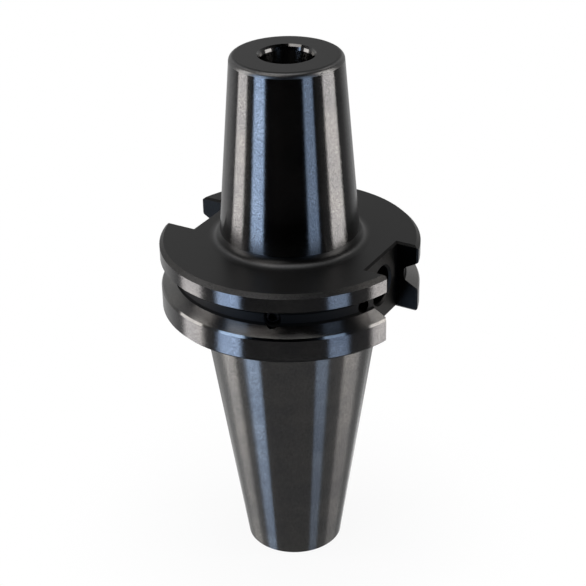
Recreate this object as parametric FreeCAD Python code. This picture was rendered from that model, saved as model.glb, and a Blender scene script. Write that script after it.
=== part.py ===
import FreeCAD, Part
import math
import os

# Shrink fit tool holder: a steep taper with a V-flange, and a slim tapered nose whose plain
# bore grips a tool shank when it cools. All lengths are in millimetres, angles in degrees.
# The origin is on the axis, at the gauge line of the taper. +Z points to the nose, and the
# two drive slots lie on the X axis, the shallow one at +X.

os.makedirs("parts", exist_ok=True)

# Taper that seats in the spindle
GAUGE_DIAMETER = 44.45
TAPER_LENGTH = 68.25
TAPER_PER_LENGTH = 7.0 / 24.0
TAPER_OVERRUN = 0.5
SMALL_END_CHAMFER = 0.1

# Grinding relief in the corner between the taper and the rear face of the flange
RELIEF_NECK_DEPTH = 0.4
RELIEF_OUTER_DIAMETER = 47.6
RELIEF_DEPTH = 0.8
RELIEF_FLARE = 0.4

# Flange
FLANGE_DIAMETER = 63.5
FLANGE_REAR = 1.3
FLANGE_FACE = 19.05
FLANGE_FACE_CHAMFER = 1.0
FLANGE_REAR_CHAMFER = 0.6

# V-groove that the tool changer grips
GROOVE_CENTRE = 11.05
GROOVE_WIDTH = 7.1
GROOVE_ANGLE = 60.0
GROOVE_DEPTH = 3.6
GROOVE_CORNER_BEVEL = 0.4
GROOVE_UPPER_BREAK = 0.2
GROOVE_LOWER_BREAK = 0.3
GROOVE_LOWER_BREAK_HEIGHT = 0.6

# Drive slots, measured from the axis to the floor
SLOT_WIDTH = 16.3
SHALLOW_SLOT_FLOOR = 25.0
DEEP_SLOT_FLOOR = 22.6
SLOT_EDGE_CHAMFER = 0.5

# Blind hole in the floor of the shallow slot, which balances the deep slot
BALANCE_HOLE_DIAMETER = 9.4
BALANCE_HOLE_DEPTH = 9.8
BALANCE_HOLE_CHAMFER = 0.5

# Two small holes in the floor of the V-groove
PLUG_HOLE_AZIMUTH = -69.0
PLUG_HOLE_DIAMETER = 3.24
PLUG_HOLE_DEPTH = 9.0
PLUG_HOLE_COUNTERSINK = 4.25
OPEN_HOLE_AZIMUTH = -23.2
OPEN_HOLE_DIAMETER = 3.1
OPEN_HOLE_DEPTH = 10.0

# Nose
NOSE_END = 65.0
NOSE_END_DIAMETER = 26.75
NOSE_HALF_ANGLE = 4.7
NOSE_LIP_RADIUS = 1.4
NOSE_ROOT_HEIGHT = 2.05
NOSE_ROOT_RADIUS = 3.45
NOSE_ROOT_STEP = 0.2

# Bore that grips the tool, with a lead-in of two cones
TOOL_BORE_DIAMETER = 12.7
TOOL_BORE_DEPTH = 48.0
LEAD_IN_DIAMETER = 13.8
LEAD_IN_STEEP_DEPTH = 0.55
LEAD_IN_DEPTH = 1.3
LEAD_IN_MIDDLE_DIAMETER = 13.1

# Threaded bore behind the tool bore, for the length stop screw
STOP_BORE_DIAMETER = 10.0
STOP_BORE_LENGTH = 21.0

# Passage for coolant, and the thread for the pull stud at the small end
COOLANT_DIAMETER = 8.0
STUD_THREAD_DIAMETER = 15.875
STUD_THREAD_DEPTH = 28.4
STUD_DRILL_DIAMETER = 13.5
STUD_DRILL_DEPTH = 32.0
STUD_PILOT_DIAMETER = 16.3
STUD_PILOT_DEPTH = 4.8
STUD_MOUTH_DIAMETER = 18.0
STUD_MOUTH_ANGLE = 60.0
DRILL_POINT_ANGLE = 118.0

# Screws
THREAD_CLEARANCE = 0.02
PLUG_SCREW_LENGTH = 6.0
PLUG_SCREW_SINK = 0.8
PLUG_SCREW_HEX = 2.0
PLUG_SCREW_HEX_DEPTH = 2.0
PLUG_SCREW_CHAMFER = 0.15
PLUG_SCREW_CUP_DIAMETER = 2.0
PLUG_SCREW_CUP_DEPTH = 0.6
STOP_SCREW_LENGTH = 15.0
STOP_SCREW_SINK = 1.5
STOP_SCREW_HEX = 5.0
STOP_SCREW_HEX_DEPTH = 5.0
STOP_SCREW_CHAMFER = 0.8
STOP_SCREW_HOLE = 4.0

# Extra length that a cutter reaches past the surface it cuts
OVERCUT = 2.0
# Two ends closer than this are one point of an outline
SAME_POINT = 0.000001


def tan_of(angle):
    return math.tan(math.radians(angle))


def drill_point(diameter_step):
    """Height of a drill's conical point over the given change of diameter."""
    return diameter_step / 2 / tan_of(DRILL_POINT_ANGLE / 2)


def taper_radius(height):
    return (GAUGE_DIAMETER + height * TAPER_PER_LENGTH) / 2


def groove_floor_radius():
    return FLANGE_DIAMETER / 2 - GROOVE_DEPTH


def vector(radius, height):
    return FreeCAD.Vector(radius, 0, height)


def outline(corners):
    """Closed wire in the XZ plane through (radius, height, rounding) corners."""
    edges = []
    ends = []
    for index, (radius, height, rounding) in enumerate(corners):
        corner = vector(radius, height)
        if rounding == 0:
            ends.append((corner, corner))
            continue
        before = vector(*corners[index - 1][:2]) - corner
        after = vector(*corners[(index + 1) % len(corners)][:2]) - corner
        before.normalize()
        after.normalize()
        half_angle = before.getAngle(after) / 2
        start = corner + before * (rounding / math.tan(half_angle))
        end = corner + after * (rounding / math.tan(half_angle))
        inward = (before + after).normalize()
        middle = corner + inward * (rounding / math.sin(half_angle) - rounding)
        edges.append(Part.Arc(start, middle, end).toShape())
        ends.append((start, end))
    for index, (start, _) in enumerate(ends):
        previous_end = ends[index - 1][1]
        if previous_end.distanceToPoint(start) > SAME_POINT:
            edges.append(Part.makeLine(previous_end, start))
    return Part.Wire(Part.__sortEdges__(edges))


def turned(corners):
    """Solid of revolution about the Z axis."""
    face = Part.Face(outline(corners))
    return face.revolve(FreeCAD.Vector(0, 0, 0), FreeCAD.Vector(0, 0, 1), 360)


def radial(shape, azimuth, radius, height):
    """Turn a shape made along +Z so that +Z points outward at the given place."""
    shape.rotate(FreeCAD.Vector(0, 0, 0), FreeCAD.Vector(0, 1, 0), 90)
    shape.translate(FreeCAD.Vector(radius, 0, height))
    shape.rotate(FreeCAD.Vector(0, 0, 0), FreeCAD.Vector(0, 0, 1), azimuth)
    return shape


def blind_hole(diameter, depth, mouth_diameter):
    """Drilled hole below Z = 0 with a 45 degree mouth and a conical point."""
    radius = diameter / 2
    mouth = mouth_diameter / 2
    return turned([
        (0, OVERCUT, 0),
        (mouth, OVERCUT, 0),
        (mouth, 0, 0),
        (radius, radius - mouth, 0),
        (radius, -depth, 0),
        (0, -depth - drill_point(diameter), 0),
    ])


def flat_face(corners):
    return Part.Face(Part.makePolygon(corners + corners[:1]))


def hexagon(across_flats, length):
    """Hexagonal prism that stands on Z = 0."""
    corner_radius = across_flats / 2 / math.cos(math.radians(30))
    corners = []
    for index in range(6):
        angle = math.radians(60 * index)
        corners.append(FreeCAD.Vector(corner_radius * math.cos(angle), corner_radius * math.sin(angle), 0))
    return flat_face(corners).extrude(FreeCAD.Vector(0, 0, length))


def rectangle(inner_x, half_width, outer_x, height):
    return [
        FreeCAD.Vector(inner_x, -half_width, height),
        FreeCAD.Vector(outer_x, -half_width, height),
        FreeCAD.Vector(outer_x, half_width, height),
        FreeCAD.Vector(inner_x, half_width, height),
    ]


def face_bevel(floor, face_height, outward):
    """Cutter that bevels the slot's edges on one face of the flange; outward is 1 or -1."""
    half_width = SLOT_WIDTH / 2
    outer_x = FLANGE_DIAMETER / 2 + OVERCUT
    bevel = SLOT_EDGE_CHAMFER
    small = rectangle(floor, half_width, outer_x, face_height - outward * bevel)
    large = rectangle(floor - bevel, half_width + bevel, outer_x + bevel, face_height)
    faces = [flat_face(small), flat_face(large)]
    for index in range(4):
        faces.append(flat_face([small[index - 1], small[index], large[index], large[index - 1]]))
    return Part.makeSolid(Part.makeShell(faces))


def rim_bevel(side):
    """Cutter that bevels the upright edge between one slot wall and the rim of the flange."""
    half_width = SLOT_WIDTH / 2
    rim_radius = FLANGE_DIAMETER / 2
    edge_x = math.sqrt(rim_radius ** 2 - half_width ** 2)
    start_x = edge_x - SLOT_EDGE_CHAMFER
    reach = SLOT_EDGE_CHAMFER + OVERCUT
    corners = [
        FreeCAD.Vector(start_x, side * half_width, FLANGE_REAR - OVERCUT),
        FreeCAD.Vector(start_x + reach, side * half_width, FLANGE_REAR - OVERCUT),
        FreeCAD.Vector(start_x + reach, side * (half_width + reach), FLANGE_REAR - OVERCUT),
    ]
    height = FLANGE_FACE - FLANGE_REAR + 2 * OVERCUT
    return flat_face(corners).extrude(FreeCAD.Vector(0, 0, height))


def drive_slot_cutters(floor, azimuth):
    """Cutters of one drive slot: the slot itself and the bevels along its edges."""
    depth = FLANGE_DIAMETER / 2 + OVERCUT - floor
    height = FLANGE_FACE - FLANGE_REAR + 2 * OVERCUT
    corner = FreeCAD.Vector(floor, -SLOT_WIDTH / 2, FLANGE_REAR - OVERCUT)
    cutters = [
        Part.makeBox(depth, SLOT_WIDTH, height, corner),
        face_bevel(floor, FLANGE_FACE, 1),
        face_bevel(floor, FLANGE_REAR, -1),
        rim_bevel(1),
        rim_bevel(-1),
    ]
    for cutter in cutters:
        cutter.rotate(FreeCAD.Vector(0, 0, 0), FreeCAD.Vector(0, 0, 1), azimuth)
    return cutters


def taper_corners():
    """Outside of the taper, from the small end up to the relief under the flange."""
    small_radius = taper_radius(-TAPER_LENGTH)
    overrun_radius = taper_radius(TAPER_OVERRUN)
    neck_radius = overrun_radius - RELIEF_NECK_DEPTH
    relief_top = FLANGE_REAR + RELIEF_DEPTH
    relief_radius = RELIEF_OUTER_DIAMETER / 2
    return [
        (small_radius - SMALL_END_CHAMFER, -TAPER_LENGTH, 0),
        (taper_radius(SMALL_END_CHAMFER - TAPER_LENGTH), SMALL_END_CHAMFER - TAPER_LENGTH, 0),
        (overrun_radius, TAPER_OVERRUN, 0),
        (neck_radius, TAPER_OVERRUN + RELIEF_NECK_DEPTH, 0),
        (neck_radius, relief_top, 0),
        (relief_radius - RELIEF_FLARE, relief_top, 0),
        (relief_radius, FLANGE_REAR, 0),
    ]


def flange_corners():
    """Outside of the flange, from the rear face over the V-groove to the front face."""
    rim = FLANGE_DIAMETER / 2
    floor = groove_floor_radius()
    slope = tan_of(GROOVE_ANGLE / 2)
    wall_foot = floor + GROOVE_CORNER_BEVEL * math.cos(math.radians(GROOVE_ANGLE / 2))

    def half_width(radius):
        return GROOVE_WIDTH / 2 - (rim - radius) * slope

    floor_half_width = half_width(floor) - GROOVE_CORNER_BEVEL
    lower_edge = GROOVE_CENTRE - half_width(rim - GROOVE_LOWER_BREAK)
    upper_edge = GROOVE_CENTRE + half_width(rim - GROOVE_UPPER_BREAK)
    return [
        (rim - FLANGE_REAR_CHAMFER, FLANGE_REAR, 0),
        (rim, FLANGE_REAR + FLANGE_REAR_CHAMFER, 0),
        (rim, lower_edge - GROOVE_LOWER_BREAK_HEIGHT, 0),
        (rim - GROOVE_LOWER_BREAK, lower_edge, 0),
        (wall_foot, GROOVE_CENTRE - half_width(wall_foot), 0),
        (floor, GROOVE_CENTRE - floor_half_width, 0),
        (floor, GROOVE_CENTRE + floor_half_width, 0),
        (wall_foot, GROOVE_CENTRE + half_width(wall_foot), 0),
        (rim - GROOVE_UPPER_BREAK, upper_edge, 0),
        (rim, upper_edge + GROOVE_UPPER_BREAK, 0),
        (rim, FLANGE_FACE - FLANGE_FACE_CHAMFER, 0),
        (rim - FLANGE_FACE_CHAMFER, FLANGE_FACE, 0),
    ]


def nose_corners():
    """Outside of the nose: root fillet that flares into the flange face, cone and lip."""
    cone_end = FLANGE_FACE + NOSE_ROOT_HEIGHT + NOSE_ROOT_STEP
    cone_radius = NOSE_END_DIAMETER / 2 + (NOSE_END - cone_end) * tan_of(NOSE_HALF_ANGLE)
    root_radius = cone_radius - NOSE_ROOT_STEP
    rise = NOSE_ROOT_RADIUS - NOSE_ROOT_HEIGHT
    run = math.sqrt(NOSE_ROOT_RADIUS ** 2 - rise ** 2)
    corner_shift = NOSE_ROOT_HEIGHT * rise / run
    return [
        (root_radius + corner_shift, FLANGE_FACE, NOSE_ROOT_RADIUS),
        (root_radius, FLANGE_FACE + NOSE_ROOT_HEIGHT, 0),
        (cone_radius, cone_end, 0),
        (NOSE_END_DIAMETER / 2, NOSE_END, NOSE_LIP_RADIUS),
    ]


def bore_corners():
    """Inside of the holder, from the mouth at the nose down to the small end of the taper."""
    tool_radius = TOOL_BORE_DIAMETER / 2
    tool_bottom = NOSE_END - TOOL_BORE_DEPTH
    stop_radius = STOP_BORE_DIAMETER / 2
    stop_bottom = tool_bottom - STOP_BORE_LENGTH
    coolant_radius = COOLANT_DIAMETER / 2
    drill_radius = STUD_DRILL_DIAMETER / 2
    drill_top = STUD_DRILL_DEPTH - TAPER_LENGTH
    thread_radius = STUD_THREAD_DIAMETER / 2
    thread_top = STUD_THREAD_DEPTH - TAPER_LENGTH
    pilot_radius = STUD_PILOT_DIAMETER / 2
    pilot_top = STUD_PILOT_DEPTH - TAPER_LENGTH
    mouth_radius = STUD_MOUTH_DIAMETER / 2
    mouth_depth = (mouth_radius - pilot_radius) / tan_of(STUD_MOUTH_ANGLE / 2)
    return [
        (LEAD_IN_DIAMETER / 2, NOSE_END, 0),
        (LEAD_IN_MIDDLE_DIAMETER / 2, NOSE_END - LEAD_IN_STEEP_DEPTH, 0),
        (tool_radius, NOSE_END - LEAD_IN_DEPTH, 0),
        (tool_radius, tool_bottom, 0),
        (stop_radius, tool_bottom - drill_point(TOOL_BORE_DIAMETER - STOP_BORE_DIAMETER), 0),
        (stop_radius, stop_bottom, 0),
        (coolant_radius, stop_bottom - drill_point(STOP_BORE_DIAMETER - COOLANT_DIAMETER), 0),
        (coolant_radius, drill_top + drill_point(STUD_DRILL_DIAMETER - COOLANT_DIAMETER), 0),
        (drill_radius, drill_top, 0),
        (drill_radius, thread_top + (thread_radius - drill_radius), 0),
        (thread_radius, thread_top, 0),
        (thread_radius, pilot_top + (pilot_radius - thread_radius), 0),
        (pilot_radius, pilot_top, 0),
        (pilot_radius, mouth_depth - TAPER_LENGTH, 0),
        (mouth_radius, -TAPER_LENGTH, 0),
    ]


def make_holder_body():
    body = turned(taper_corners() + flange_corners() + nose_corners() + bore_corners())
    cutters = drive_slot_cutters(SHALLOW_SLOT_FLOOR, 0)
    cutters += drive_slot_cutters(DEEP_SLOT_FLOOR, 180)
    balance_mouth = BALANCE_HOLE_DIAMETER + 2 * BALANCE_HOLE_CHAMFER
    balance_hole = blind_hole(BALANCE_HOLE_DIAMETER, BALANCE_HOLE_DEPTH, balance_mouth)
    cutters.append(radial(balance_hole, 0, SHALLOW_SLOT_FLOOR, GROOVE_CENTRE))
    groove_floor = groove_floor_radius()
    plug_hole = blind_hole(PLUG_HOLE_DIAMETER, PLUG_HOLE_DEPTH, PLUG_HOLE_COUNTERSINK)
    cutters.append(radial(plug_hole, PLUG_HOLE_AZIMUTH, groove_floor, GROOVE_CENTRE))
    open_hole = blind_hole(OPEN_HOLE_DIAMETER, OPEN_HOLE_DEPTH, OPEN_HOLE_DIAMETER)
    cutters.append(radial(open_hole, OPEN_HOLE_AZIMUTH, groove_floor, GROOVE_CENTRE))
    for cutter in cutters:
        body = body.cut(cutter)
    return body.removeSplitter()


def make_plug_screw():
    """Set screw that plugs the countersunk hole in the V-groove."""
    radius = PLUG_HOLE_DIAMETER / 2 - THREAD_CLEARANCE
    cup_radius = PLUG_SCREW_CUP_DIAMETER / 2
    screw = turned([
        (0, 0, 0),
        (radius - PLUG_SCREW_CHAMFER, 0, 0),
        (radius, -PLUG_SCREW_CHAMFER, 0),
        (radius, PLUG_SCREW_CHAMFER - PLUG_SCREW_LENGTH, 0),
        (radius - PLUG_SCREW_CHAMFER, -PLUG_SCREW_LENGTH, 0),
        (cup_radius, -PLUG_SCREW_LENGTH, 0),
        (0, PLUG_SCREW_CUP_DEPTH - PLUG_SCREW_LENGTH, 0),
    ])
    socket = hexagon(PLUG_SCREW_HEX, PLUG_SCREW_HEX_DEPTH + OVERCUT)
    socket.translate(FreeCAD.Vector(0, 0, -PLUG_SCREW_HEX_DEPTH))
    screw = screw.cut(socket)
    return radial(screw, PLUG_HOLE_AZIMUTH, groove_floor_radius() - PLUG_SCREW_SINK, GROOVE_CENTRE)


def make_length_stop_screw():
    """Hollow screw behind the tool bore: the tool shank rests on its upper end."""
    radius = STOP_BORE_DIAMETER / 2 - THREAD_CLEARANCE
    hole_radius = STOP_SCREW_HOLE / 2
    top = NOSE_END - TOOL_BORE_DEPTH - STOP_SCREW_SINK
    bottom = top - STOP_SCREW_LENGTH
    screw = turned([
        (hole_radius, top, 0),
        (radius - STOP_SCREW_CHAMFER, top, 0),
        (radius, top - STOP_SCREW_CHAMFER, 0),
        (radius, bottom + STOP_SCREW_CHAMFER, 0),
        (radius - STOP_SCREW_CHAMFER, bottom, 0),
        (hole_radius, bottom, 0),
    ])
    for socket_start in (top - STOP_SCREW_HEX_DEPTH, bottom - OVERCUT):
        socket = hexagon(STOP_SCREW_HEX, STOP_SCREW_HEX_DEPTH + OVERCUT)
        socket.translate(FreeCAD.Vector(0, 0, socket_start))
        screw = screw.cut(socket)
    return screw


SUB_PARTS = {
    "holder_body": make_holder_body,
    "plug_screw": make_plug_screw,
    "length_stop_screw": make_length_stop_screw,
}

for name, make in SUB_PARTS.items():
    shape = make()
    if not shape.isValid() or len(shape.Solids) != 1:
        raise ValueError(name + " is not one valid solid")
    shape.Solids[0].exportStep("parts/" + name + ".step")
    print(name, "volume", round(shape.Volume, 2), "box", shape.BoundBox)
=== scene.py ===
import math

import bpy
from mathutils import Matrix, Vector


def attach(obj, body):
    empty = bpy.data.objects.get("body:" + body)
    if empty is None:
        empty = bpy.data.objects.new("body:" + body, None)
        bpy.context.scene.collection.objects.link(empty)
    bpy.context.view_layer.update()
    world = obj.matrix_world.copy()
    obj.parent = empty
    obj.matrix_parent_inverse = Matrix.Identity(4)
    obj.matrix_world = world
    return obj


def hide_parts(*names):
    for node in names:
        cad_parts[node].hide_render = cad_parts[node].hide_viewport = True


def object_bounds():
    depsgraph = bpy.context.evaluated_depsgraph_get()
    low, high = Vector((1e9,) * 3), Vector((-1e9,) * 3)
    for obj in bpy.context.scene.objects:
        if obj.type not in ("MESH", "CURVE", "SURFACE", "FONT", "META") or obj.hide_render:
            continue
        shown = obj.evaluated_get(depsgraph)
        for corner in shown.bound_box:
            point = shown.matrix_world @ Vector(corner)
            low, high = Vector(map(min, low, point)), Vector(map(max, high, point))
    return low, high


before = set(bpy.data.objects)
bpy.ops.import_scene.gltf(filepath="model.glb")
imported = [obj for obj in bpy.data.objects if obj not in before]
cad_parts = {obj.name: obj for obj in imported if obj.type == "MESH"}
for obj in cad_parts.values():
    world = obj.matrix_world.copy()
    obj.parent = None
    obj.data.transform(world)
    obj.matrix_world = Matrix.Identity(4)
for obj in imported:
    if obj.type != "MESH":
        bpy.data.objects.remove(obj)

# Shrink fit tool holder, dressed around its CAD frame. All lengths are in metres.
# Azimuths are in degrees about the object's axis, from the +X axis. The turns of the lamps and of
# the surroundings are azimuths from the camera's.

cad_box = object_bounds()
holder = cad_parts["holder_body"]

# Camera of the photograph
IMAGE_WIDTH = 586
FOCAL_PIXELS = 1547.9
SENSOR_WIDTH = 36.0
NEAR_CLIP = 0.01
CAMERA_DISTANCE = 0.3841
CAMERA_AZIMUTH = -60.0
CAMERA_ELEVATION = 28.39
CAMERA_ROLL = -1.02
TARGET_RIGHT = 0.00051
TARGET_HEIGHT = 0.00267

# Heights and radii that part the body's faces into regions. The two ends come from the frame, and
# the rest follow the sizes of the solid.
LOW = cad_box[0].z
HIGH = cad_box[1].z
FACE_CHAMFER_LOW = 0.01785
FACE_CHAMFER_RADIUS = 0.0302
FLANGE_REAR = 0.0013
REAR_CHAMFER_TOP = 0.003
NOSE_ROOT = 0.0211
LIP_HEIGHT = 0.0014
MOUTH_DEPTH = 0.0013
BORE_RADIUS = 0.00695
BORE_BOTTOM = 0.0165
INNER_RADIUS = 0.0092
BAND_RADIUS = 0.0317
WALL_RADIUS = 0.0314
GROOVE_RADIUS = 0.029
GROOVE_FLOOR_RADIUS = 0.02815
GROOVE_CENTRE = 0.01105
HOLE_AZIMUTHS = (-69.0, -23.2)
HOLE_REACH = 0.0042
SLOT_FLOORS = (0.025, -0.0226)
SLOT_HALF_WIDTH = 0.00815
TAPER_TOP = 0.0006
TAPER_RADIUS = 0.0225
FOOT_CHAMFER = 0.00012
TOUCH = 1e-5

# Limits on a face's unit normal that tell the faces apart
STRAIGHT = 0.99
TURNED = 0.998
FACE_SLOPE = 0.9
GROOVE_SLOPE = 0.84
UPRIGHT_SLOPE = 0.2

# Thread for the pull stud, 11 turns to the inch. The ridge's half widths are shares of its pitch.
THREAD_PITCH = 0.0254 / 11
THREAD_ROOT_RADIUS = 0.00798
THREAD_CREST_RADIUS = 0.00695
THREAD_ROOT_WIDTH = 0.46
THREAD_CREST_WIDTH = 0.12
THREAD_LOW = -0.0631
THREAD_HIGH = -0.0402
THREAD_STEPS = 60
THREAD_RUNOUT = 0.5

# Finish
DIELECTRIC_IOR = 1.45
LINE_PITCH = 0.00012
LINE_BREAKS_PER_METRE = 70.0
LINE_DETAIL = 2.0
BLOTCHES_PER_METRE = 130.0
BLOTCH_DETAIL = 4.0
GRAIN_SIZE = 0.00025
GRAIN_DETAIL = 1.0
NOISE_RANGE = (0.3, 0.7)
DARK_BLOTCH = 0.9
BROWN_BLOTCH = (1.12, 1.10, 1.06)
ROUGHNESS_SPREAD = 0.04
LINE_SHARE = 0.6
ROUNDED_SLOPE = (0.985, 0.80)
STEEP_SLOPE = (0.72, 0.93)
MOUTH_ROUNDING = 0.17
BRUSH_ROTATION = 0.25

# Floor, with the radii between which it fades to white and its share of white at each
WHITE = (1, 1, 1, 1)
FLOOR_RADIUS = 0.14
FLOOR_SIDES = 96
FLOOR_GAP = 0.0001
FLOOR_COLOUR = (0.8, 0.8, 0.8, 1)
FLOOR_FADE = (0.01, 0.5 * FLOOR_RADIUS, 0.92, 1.0)

# Surroundings as the object mirrors them: brightness by the turn from the camera, and the heights
# of a unit direction between which one part gives way to the next. AMBIENT lights matte surfaces.
AMBIENT = 0.3
BACKDROP_LOW = 1.0
BACKDROP_MIDDLE = 0.56
BACKDROP_HIGH = 0.15
BACKDROP_MIDDLE_HEIGHTS = (-0.25, 0.15)
BACKDROP_HIGH_HEIGHTS = (0.5, 0.8)
BACKDROP_TURNS = ((-180, 0.9), (-130, 0.95), (-108, 0.42), (-72, 0.2), (-60, 0.2), (-48, 0.0),
                  (48, 0.0), (60, 0.15), (72, 0.15), (120, 0.3), (133, 0.65), (156, 0.92),
                  (180, 0.6))
TABLE_HEIGHTS = (-0.62, -0.50)
TABLE_NEAR = 0.6
TABLE_NEAR_HEIGHTS = (-0.72, -0.67)
TABLE_NEAR_TILT = 0.07
TABLE_TURNS = ((-180, 1.9), (-168, 1.4), (-155, 0.9), (-143, 0.65), (-108, 1.0), (-72, 0.5),
               (-40, 0.4), (40, 0.4), (72, 0.5), (112, 0.7), (132, 0.36), (147, 0.36),
               (158, 1.9), (180, 2.1))
GLOW_SCALE = 2.5

# Lamps
LAMP_DISTANCE = 0.8
OVERHEAD = 0.01
WARM = (1.0, 0.96, 0.93)
BLUE = (0.52, 0.70, 1.0)
NEUTRAL = (1, 1, 1)
# Name, turn, width, lowest and highest elevation, radiance, colour, lean in degrees
STRIPS = (
    ("strip_side_left", -92.3, 0.335, -40, 40, 3.7, WARM, 7),
    ("strip_front_left", -54.5, 0.30, -47, 27, 4.5, BLUE, 6),
    ("strip_front_right", 40, 0.25, -48, 27, 1.9, BLUE, -6),
    ("strip_side_right", 84.5, 0.42, -38, 41, 3.6, WARM, -8),
)
# Name, turn, elevation, size, radiance, colour
BOXES = (
    ("front_high", -48, 59, (0.50, 0.22), 2.1, WARM),
    ("top_side_left", -127, 51, (0.16, 0.14), 2.2, WARM),
    ("top_side_right", 127, 51, (0.16, 0.14), 3.0, WARM),
    ("overhead_left", -115, 73, (0.20, 0.20), 2.4, WARM),
    ("top_box", 0, 90, (0.44, 0.44), 1.2, NEUTRAL),
)


def direction(azimuth, elevation=0.0):
    """Unit vector towards an azimuth and elevation given in degrees."""
    a = math.radians(azimuth)
    e = math.radians(elevation)
    return Vector((math.cos(a) * math.cos(e), math.sin(a) * math.cos(e), math.sin(e)))


def placement(across, up, out, place):
    """Matrix of an object whose X, Y and Z axes point across, up and out."""
    return Matrix((
        (across.x, up.x, out.x, place.x),
        (across.y, up.y, out.y, place.y),
        (across.z, up.z, out.z, place.z),
        (0, 0, 0, 1),
    ))


def add_object(name, data):
    made = bpy.data.objects.new(name, data)
    bpy.context.scene.collection.objects.link(made)
    return made


def make_camera():
    back = direction(CAMERA_AZIMUTH, CAMERA_ELEVATION)
    level = direction(CAMERA_AZIMUTH + 90)
    upright = back.cross(level)
    roll = math.radians(CAMERA_ROLL)
    right = math.cos(roll) * level + math.sin(roll) * upright
    up = math.cos(roll) * upright - math.sin(roll) * level
    place = level * TARGET_RIGHT + Vector((0, 0, TARGET_HEIGHT)) + back * CAMERA_DISTANCE
    data = bpy.data.cameras.new("camera")
    data.sensor_width = SENSOR_WIDTH
    data.lens = FOCAL_PIXELS / IMAGE_WIDTH * SENSOR_WIDTH
    data.clip_start = NEAR_CLIP
    camera = add_object("camera", data)
    camera.matrix_world = placement(right, up, back, place)
    bpy.context.scene.camera = camera


class Tree:
    """Short names for building a node tree."""

    def __init__(self, owner):
        owner.use_nodes = True
        self.tree = owner.node_tree
        self.tree.nodes.clear()

    def node(self, kind, inputs=None, **settings):
        made = self.tree.nodes.new(kind)
        for name, value in settings.items():
            setattr(made, name, value)
        for key, value in (inputs or {}).items():
            self.set(made.inputs[key], value)
        return made

    def set(self, socket, value):
        if isinstance(value, bpy.types.NodeSocket):
            self.tree.links.new(value, socket)
        else:
            socket.default_value = value

    def math(self, operation, *values):
        made = self.node("ShaderNodeMath", operation=operation)
        for index, value in enumerate(values):
            self.set(made.inputs[index], value)
        return made.outputs[0]

    def vector(self, operation, *values, scale=None):
        """Vector math node, with a linked or plain scale where the operation has one."""
        made = self.node("ShaderNodeVectorMath", operation=operation)
        for index, value in enumerate(values):
            self.set(made.inputs[index], value)
        if scale is not None:
            self.set(made.inputs["Scale"], scale)
        return made.outputs["Value" if operation in ("DOT_PRODUCT", "LENGTH") else "Vector"]

    def flat(self, value):
        """A vector without its height."""
        return self.vector("MULTIPLY", value, (1, 1, 0))

    def ramp(self, value, low, high, out_low=0.0, out_high=1.0, shape="SMOOTHSTEP"):
        """Change from out_low to out_high as value goes from low to high."""
        inputs = {0: value, 1: low, 2: high, 3: out_low, 4: out_high}
        return self.node("ShaderNodeMapRange", inputs, interpolation_type=shape).outputs[0]

    def mix_colours(self, share, first, second):
        inputs = {0: share, 6: first, 7: second}
        return self.node("ShaderNodeMix", inputs, data_type="RGBA").outputs[2]

    def noise(self, place, scale, detail):
        inputs = {"Vector": place, "Scale": scale, "Detail": detail}
        return self.node("ShaderNodeTexNoise", inputs).outputs[0]

    def bump(self, height, distance, normal=None):
        inputs = {"Strength": 1.0, "Distance": distance, "Height": height}
        if normal is not None:
            inputs["Normal"] = normal
        return self.node("ShaderNodeBump", inputs).outputs[0]

    def mirrored(self, path):
        """1 for what metal or glass shows, else 0."""
        glossy = path.outputs["Is Glossy Ray"]
        return self.math("MAXIMUM", glossy, path.outputs["Is Transmission Ray"])


def glow_by_turn(t, turn, stops):
    """Brightness by the turn from the camera, given at a few turns in degrees."""
    made = t.node("ShaderNodeValToRGB", {0: turn})
    elements = made.color_ramp.elements
    while len(elements) < len(stops):
        elements.new(0.5)
    for index, (degrees, _) in enumerate(stops):
        elements[index].position = degrees / 360 + 0.5
    for element, (_, value) in zip(elements, stops):
        level = value / GLOW_SCALE
        element.color = (level, level, level, 1)
    return t.math("MULTIPLY", made.outputs[0], GLOW_SCALE)


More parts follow.
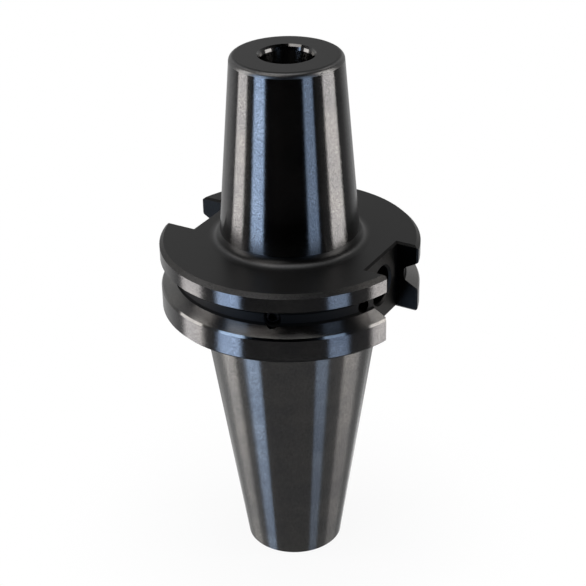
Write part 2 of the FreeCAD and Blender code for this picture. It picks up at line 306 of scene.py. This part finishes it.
def make_world():
    """White backdrop. Mirrored, it is bright behind the object and below it, and dark in front."""
    world = bpy.data.worlds.new("studio")
    bpy.context.scene.world = world
    t = Tree(world)
    way = t.node("ShaderNodeTexCoord").outputs["Generated"]
    flat = t.vector("NORMALIZE", t.flat(way))
    side = t.vector("DOT_PRODUCT", flat, direction(CAMERA_AZIMUTH + 90))
    front = t.vector("DOT_PRODUCT", flat, direction(CAMERA_AZIMUTH))
    turn = t.math("MULTIPLY_ADD", t.math("ARCTAN2", side, front), 0.5 / math.pi, 0.5)
    height = t.node("ShaderNodeSeparateXYZ", {0: way}).outputs["Z"]
    low = t.ramp(height, *BACKDROP_MIDDLE_HEIGHTS, BACKDROP_LOW, BACKDROP_MIDDLE)
    high = t.ramp(height, *BACKDROP_HIGH_HEIGHTS, BACKDROP_MIDDLE, BACKDROP_HIGH)
    backdrop = t.math("MULTIPLY", glow_by_turn(t, turn, BACKDROP_TURNS),
                      t.math("MINIMUM", low, high))
    table = t.math("MULTIPLY", glow_by_turn(t, turn, TABLE_TURNS),
                   t.ramp(height, *TABLE_HEIGHTS, 1.0, 0.0))
    steep = t.math("MULTIPLY_ADD", front, TABLE_NEAR_TILT, height)
    table = t.math("MULTIPLY", table, t.ramp(steep, *TABLE_NEAR_HEIGHTS, TABLE_NEAR, 1.0))
    path = t.node("ShaderNodeLightPath")
    mirrored = t.mirrored(path)
    shown = t.math("MULTIPLY", mirrored, t.math("MAXIMUM", backdrop, table))
    spread = t.math("MULTIPLY", t.math("SUBTRACT", 1.0, mirrored), AMBIENT)
    strength = t.math("MAXIMUM", path.outputs["Is Camera Ray"], t.math("ADD", shown, spread))
    background = t.node("ShaderNodeBackground", {"Color": WHITE, "Strength": strength})
    t.node("ShaderNodeOutputWorld", {"Surface": background.outputs[0]})


def make_floor():
    """Round white table top that keeps a soft shadow and fades to the white backdrop.

    Reflections pass through it, as the world holds the table that they show, and so do looks
    from below.
    """
    mesh = bpy.data.meshes.new("floor")
    turns = [2 * math.pi * i / FLOOR_SIDES for i in range(FLOOR_SIDES)]
    rim = [(math.cos(a) * FLOOR_RADIUS, math.sin(a) * FLOOR_RADIUS, LOW - FLOOR_GAP) for a in turns]
    mesh.from_pydata(rim, [], [list(range(FLOOR_SIDES))])
    floor = add_object("floor", mesh)
    material = bpy.data.materials.new("floor_white")
    t = Tree(material)
    radius = t.vector("LENGTH", t.flat(t.node("ShaderNodeTexCoord").outputs["Object"]))
    path = t.node("ShaderNodeLightPath")
    clear = t.math("MAXIMUM", t.mirrored(path), path.outputs["Is Shadow Ray"])
    clear = t.math("MAXIMUM", clear, t.node("ShaderNodeNewGeometry").outputs["Backfacing"])
    white = t.math("MULTIPLY", path.outputs["Is Camera Ray"], t.ramp(radius, *FLOOR_FADE))
    diffuse = t.node("ShaderNodeBsdfDiffuse", {"Color": FLOOR_COLOUR})
    emission = t.node("ShaderNodeEmission", {"Color": WHITE, "Strength": 1.0})
    through = t.node("ShaderNodeBsdfTransparent")
    solid = t.node("ShaderNodeMixShader", {0: white, 1: diffuse.outputs[0], 2: emission.outputs[0]})
    mix = t.node("ShaderNodeMixShader", {0: clear, 1: solid.outputs[0], 2: through.outputs[0]})
    t.node("ShaderNodeOutputMaterial", {"Surface": mix.outputs[0]})
    mesh.materials.append(material)


def make_area(name, place, out, size, radiance, colour, lean=0.0):
    """Soft box with its back to the unit vector out, leaning by degrees from the upright.

    Straight overhead, where it has no upright, it lines up with the X axis.
    """
    data = bpy.data.lights.new(name, "AREA")
    data.shape = "RECTANGLE"
    data.size, data.size_y = size
    data.energy = radiance * math.pi * size[0] * size[1]
    data.color = colour
    level = Vector((0, 0, 1)).cross(out)
    level = level.normalized() if level.length > OVERHEAD else Vector((1, 0, 0))
    upright = out.cross(level)
    tilt = math.radians(lean)
    across = math.cos(tilt) * level - math.sin(tilt) * upright
    up = math.cos(tilt) * upright + math.sin(tilt) * level
    lamp = add_object(name, data)
    lamp.matrix_world = placement(across, up, out, place)
    lamp.visible_camera = False


def make_strip(name, turn, width, low, high, radiance, colour, lean):
    """Tall soft box beside the object, between two elevations, turned from the camera."""
    bottom = LAMP_DISTANCE * math.tan(math.radians(low))
    top = LAMP_DISTANCE * math.tan(math.radians(high))
    out = direction(CAMERA_AZIMUTH + turn)
    place = out * LAMP_DISTANCE + Vector((0, 0, (bottom + top) / 2))
    make_area(name, place, out, (width, top - bottom), radiance, colour, lean)


def make_box(name, turn, elevation, size, radiance, colour):
    """Soft box above the object, turned from the camera."""
    out = direction(CAMERA_AZIMUTH + turn, elevation)
    make_area(name, out * LAMP_DISTANCE, out, size, radiance, colour)


def grey(level):
    return (level, level, level)


def make_steel(name, base, roughness, metallic=0.0, specular=0.5, brushed=False, lines=0.0,
               grain=0.0, speckle=0.2, rounded=None):
    """Black oxide on machined steel. Some finishes darken it as painted shade.

    lines is the height of the turning or grinding lines, which run round the axis, and grain is
    the height of an even grain, both in metres. brushed stretches highlights across the lines.
    speckle is how far the colour varies from grain to grain. rounded is the brightness and
    roughness that rounded edges have, where the surface leaves the level, and the share of the
    brightness that is left where they get steep; below 1 that dimming is painted shade.
    """
    material = bpy.data.materials.new(name)
    t = Tree(material)
    place = t.node("ShaderNodeTexCoord").outputs["Object"]
    flat = t.flat(place)
    height = t.node("ShaderNodeSeparateXYZ", {0: place}).outputs[2]
    along = t.math("SUBTRACT", height, t.vector("LENGTH", flat))
    along = t.math("MULTIPLY", along, 1.0 / LINE_PITCH)
    around = t.vector("SCALE", flat, scale=LINE_BREAKS_PER_METRE)
    around = t.node("ShaderNodeSeparateXYZ", {0: around})
    ring = t.node("ShaderNodeCombineXYZ", {0: around.outputs[0], 1: around.outputs[1], 2: along})
    streaks = t.noise(ring.outputs[0], 1.0, LINE_DETAIL)
    blotches = t.noise(place, BLOTCHES_PER_METRE, BLOTCH_DETAIL)
    grains = t.noise(place, 1.0 / GRAIN_SIZE, GRAIN_DETAIL)
    dark = [DARK_BLOTCH * channel for channel in base]
    brown = [share * channel for share, channel in zip(BROWN_BLOTCH, base)]
    colour = t.mix_colours(t.ramp(blotches, *NOISE_RANGE), (*dark, 1), (*brown, 1))
    mottle = t.ramp(grains, *NOISE_RANGE, 1.0 - speckle, 1.0 + speckle, shape="LINEAR")
    colour = t.vector("SCALE", colour, scale=mottle)
    streaky = t.math("MULTIPLY", t.math("SUBTRACT", streaks, 0.5), LINE_SHARE)
    shift = t.math("ADD", t.math("SUBTRACT", blotches, 0.5), streaky)
    rough = t.math("ADD", roughness, t.math("MULTIPLY", shift, ROUGHNESS_SPREAD))
    if rounded:
        edge_level, edge_roughness, steep_share = rounded
        normal = t.node("ShaderNodeNewGeometry").outputs["Normal"]
        slope = t.math("ABSOLUTE", t.node("ShaderNodeSeparateXYZ", {0: normal}).outputs[2])
        metallic = t.ramp(slope, *ROUNDED_SLOPE, 0.0, 1.0)
        # A steep share below 1 dims the steep part of a rounding, painted shade.
        level = t.math("MULTIPLY", mottle, t.ramp(slope, *STEEP_SLOPE, steep_share, 1.0))
        bright = t.vector("SCALE", grey(edge_level), scale=level)
        colour = t.mix_colours(metallic, colour, bright)
        rough = t.math("ADD", rough, t.math("MULTIPLY", metallic, edge_roughness - roughness))
    settings = {"Base Color": colour, "Roughness": rough, "Metallic": metallic,
                "Specular IOR Level": specular, "IOR": DIELECTRIC_IOR}
    if brushed:
        tangent = t.node("ShaderNodeTangent", direction_type="RADIAL", axis="Z")
        settings["Anisotropic"] = 1.0
        settings["Anisotropic Rotation"] = BRUSH_ROTATION
        settings["Tangent"] = tangent.outputs[0]
    if lines:
        settings["Normal"] = t.bump(streaks, lines)
    if grain:
        settings["Normal"] = t.bump(grains, grain, settings.get("Normal"))
    surface = t.node("ShaderNodeBsdfPrincipled", settings)
    t.node("ShaderNodeOutputMaterial", {"Surface": surface.outputs[0]})
    return material


def hole_place(azimuth):
    """Where a small hole opens in the floor of the groove."""
    return direction(azimuth) * GROOVE_FLOOR_RADIUS + Vector((0, 0, GROOVE_CENTRE))


def region(centre, normal):
    """Finish of one face of the holder body, by where it lies and which way it looks."""
    radius = math.hypot(centre.x, centre.y)
    if normal.z > STRAIGHT and centre.z > HIGH - TOUCH:
        return "satin"
    if normal.z < -STRAIGHT and centre.z < LOW + TOUCH:
        return "satin"
    if radius < BORE_RADIUS and centre.z > BORE_BOTTOM:
        return "mouth" if centre.z > HIGH - MOUTH_DEPTH else "bore"
    if radius < INNER_RADIUS:
        return "inside"
    if abs(normal.y) > STRAIGHT and abs(abs(centre.y) - SLOT_HALF_WIDTH) < TOUCH:
        return "side"
    if abs(normal.x) > STRAIGHT and min(abs(centre.x - floor) for floor in SLOT_FLOORS) < TOUCH:
        return "milled"
    outward = (centre.x * normal.x + centre.y * normal.y) / radius
    if outward ** 2 + normal.z ** 2 < TURNED:
        # Milled faces round the small holes get a darker finish, painted shade of the holes.
        near_hole = any((centre - hole_place(azimuth)).length < HOLE_REACH
                        for azimuth in HOLE_AZIMUTHS)
        return "hole" if near_hole else "milled"
    if centre.z > FACE_CHAMFER_LOW:
        if NOSE_ROOT < centre.z < HIGH - LIP_HEIGHT:
            return "ground"
        if radius > FACE_CHAMFER_RADIUS and normal.z < FACE_SLOPE:
            return "chamfer"
        return "satin" if centre.z > NOSE_ROOT else "root"
    if centre.z > FLANGE_REAR:
        if radius > BAND_RADIUS:
            return "band"
        if radius < GROOVE_RADIUS and abs(normal.z) < GROOVE_SLOPE:
            # Sloping faces at the groove's corners get painted shade, a near-black finish that
            # barely reflects.
            return "corner" if abs(normal.z) > UPRIGHT_SLOPE else "groove"
        # The flange's rear chamfer gets the same painted shade.
        if normal.z < -UPRIGHT_SLOPE and centre.z < REAR_CHAMFER_TOP:
            return "corner"
        return "edge" if radius > WALL_RADIUS else "wall"
    # The foot's chamfer and the faces under the flange, apart from the taper, get painted shade as
    # well.
    if centre.z < LOW + FOOT_CHAMFER:
        return "corner"
    return "taper" if centre.z < TAPER_TOP and radius < TAPER_RADIUS else "corner"


def make_finishes():
    """Material of each finish that region() names."""
    ground = {"metallic": 1.0, "brushed": True, "lines": 9e-6, "speckle": 0.36}
    satin = {"lines": 2e-6, "grain": 4e-6}
    milled = {"metallic": 1.0, "grain": 3e-6}
    return {
        "ground": make_steel("ground_oxide", (0.115, 0.115, 0.118), 0.165, grain=0.6e-6, **ground),
        "band": make_steel("band_oxide", (0.10, 0.10, 0.104), 0.165, grain=0.6e-6, **ground),
        "taper": make_steel("taper_oxide", (0.115, 0.115, 0.116), 0.20, grain=1.2e-6, **ground),
        "satin": make_steel("satin_oxide", grey(0.004), 0.40, rounded=(0.13, 0.32, 1.0), **satin),
        # The root fillet dims where it steepens towards the nose, painted shade in the crease.
        "root": make_steel("root_oxide_and_shade", grey(0.004), 0.40, rounded=(0.12, 0.30, 0.22), **satin),
        "chamfer": make_steel("chamfer_oxide", grey(0.055), 0.42, metallic=1.0, speckle=0.35,
                              **satin),
        # The groove floor is rough turned oxide, and its low specular darkens it further as painted
        # shade in the recess.
        "groove": make_steel("groove_oxide_and_shade", (0.004, 0.004, 0.0043), 0.55, specular=0.12,
                             lines=5e-6),
        # corner is painted shade: near black and barely reflecting, it darkens the faces region()
        # gives it.
        "corner": make_steel("corner_painted_shade", grey(0.002), 0.60, specular=0.05, lines=2e-6),
        # hole is a milled finish darkened round the small holes as painted shade.
        "hole": make_steel("hole_oxide_and_shade", (0.012, 0.012, 0.013), 0.30, metallic=1.0, lines=2e-6),
        "wall": make_steel("wall_oxide", grey(0.16), 0.23, metallic=1.0, brushed=True,
                           lines=2e-6, grain=1e-6),
        "edge": make_steel("edge_oxide", grey(0.155), 0.11, metallic=1.0, lines=1e-6),
        "side": make_steel("side_oxide", grey(0.011), 0.42, **milled),
        "milled": make_steel("milled_oxide", grey(0.018), 0.42, **milled),
        "bore": make_steel("bore_oxide", grey(0.11), 0.20, metallic=1.0, brushed=True, lines=1e-6),
        "mouth": make_steel("mouth_oxide", grey(0.15), 0.10, metallic=1.0, lines=1e-6),
        "inside": make_steel("inside_oxide", grey(0.05), 0.40, metallic=1.0, lines=4e-6),
    }


def shading_normal(kind, normal, place):
    """Normal at a corner of a face. On turned faces it doesn't lean round the axis."""
    if kind not in ("milled", "side"):
        around = Vector((0, 0, 1)).cross(Vector((place.x, place.y, 0)).normalized())
        normal = (normal - around * normal.dot(around)).normalized()
    if kind == "mouth":
        normal = (normal + Vector((0, 0, MOUTH_ROUNDING))).normalized()
    return normal


def make_holder():
    """The body's own mesh with a finish for each of its faces."""
    mesh = holder.data.copy()
    piece = add_object("holder_finish", mesh)
    finishes = make_finishes()
    mesh.materials.clear()
    for material in finishes.values():
        mesh.materials.append(material)
    order = list(finishes)
    normals = [None] * len(mesh.loops)
    for face in mesh.polygons:
        kind = region(face.center, face.normal)
        face.material_index = order.index(kind)
        for index in face.loop_indices:
            place = mesh.vertices[mesh.loops[index].vertex_index].co
            normal = mesh.corner_normals[index].vector.copy()
            normals[index] = shading_normal(kind, normal, place)
    mesh.normals_split_custom_set(normals)
    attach(piece, "root")
    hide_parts("holder_body")


def make_thread():
    """Helical ridge of the thread, which runs out to nothing at both ends."""
    turns = (THREAD_HIGH - THREAD_LOW) / THREAD_PITCH
    count = round(turns * THREAD_STEPS)
    verts = []
    for step in range(count + 1):
        turn = turns * step / count
        height = min(1.0, turn / THREAD_RUNOUT, (turns - turn) / THREAD_RUNOUT)
        crest = THREAD_ROOT_RADIUS + (THREAD_CREST_RADIUS - THREAD_ROOT_RADIUS) * height
        a = 2 * math.pi * turn
        z = THREAD_LOW + turn * THREAD_PITCH
        outline = ((THREAD_ROOT_RADIUS, -THREAD_ROOT_WIDTH), (crest, -THREAD_CREST_WIDTH),
                   (crest, THREAD_CREST_WIDTH), (THREAD_ROOT_RADIUS, THREAD_ROOT_WIDTH))
        for radius, offset in outline:
            verts.append((radius * math.cos(a), radius * math.sin(a), z + offset * THREAD_PITCH))
    faces = []
    for step in range(count):
        for side in range(4):
            near, far = 4 * step + side, 4 * step + (side + 1) % 4
            faces.append((near, far, far + 4, near + 4))
    faces.append((3, 2, 1, 0))
    faces.append(tuple(4 * count + side for side in range(4)))
    mesh = bpy.data.meshes.new("stud_thread")
    mesh.from_pydata(verts, [], faces)
    piece = add_object("stud_thread", mesh)
    mesh.materials.append(make_steel("thread_oxide", grey(0.06), 0.35, metallic=1.0, lines=2e-6))
    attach(piece, "root")


make_camera()
make_world()
make_floor()
for strip in STRIPS:
    make_strip(*strip)
for box in BOXES:
    make_box(*box)
make_holder()
make_thread()
for name in ("plug_screw", "length_stop_screw"):
    finish = make_steel(name + "_oxide", (0.05, 0.05, 0.053), 0.30, metallic=1.0, lines=2e-6)
    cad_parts[name].material_slots[0].material = finish

bpy.context.scene.view_settings.view_transform = "Standard"
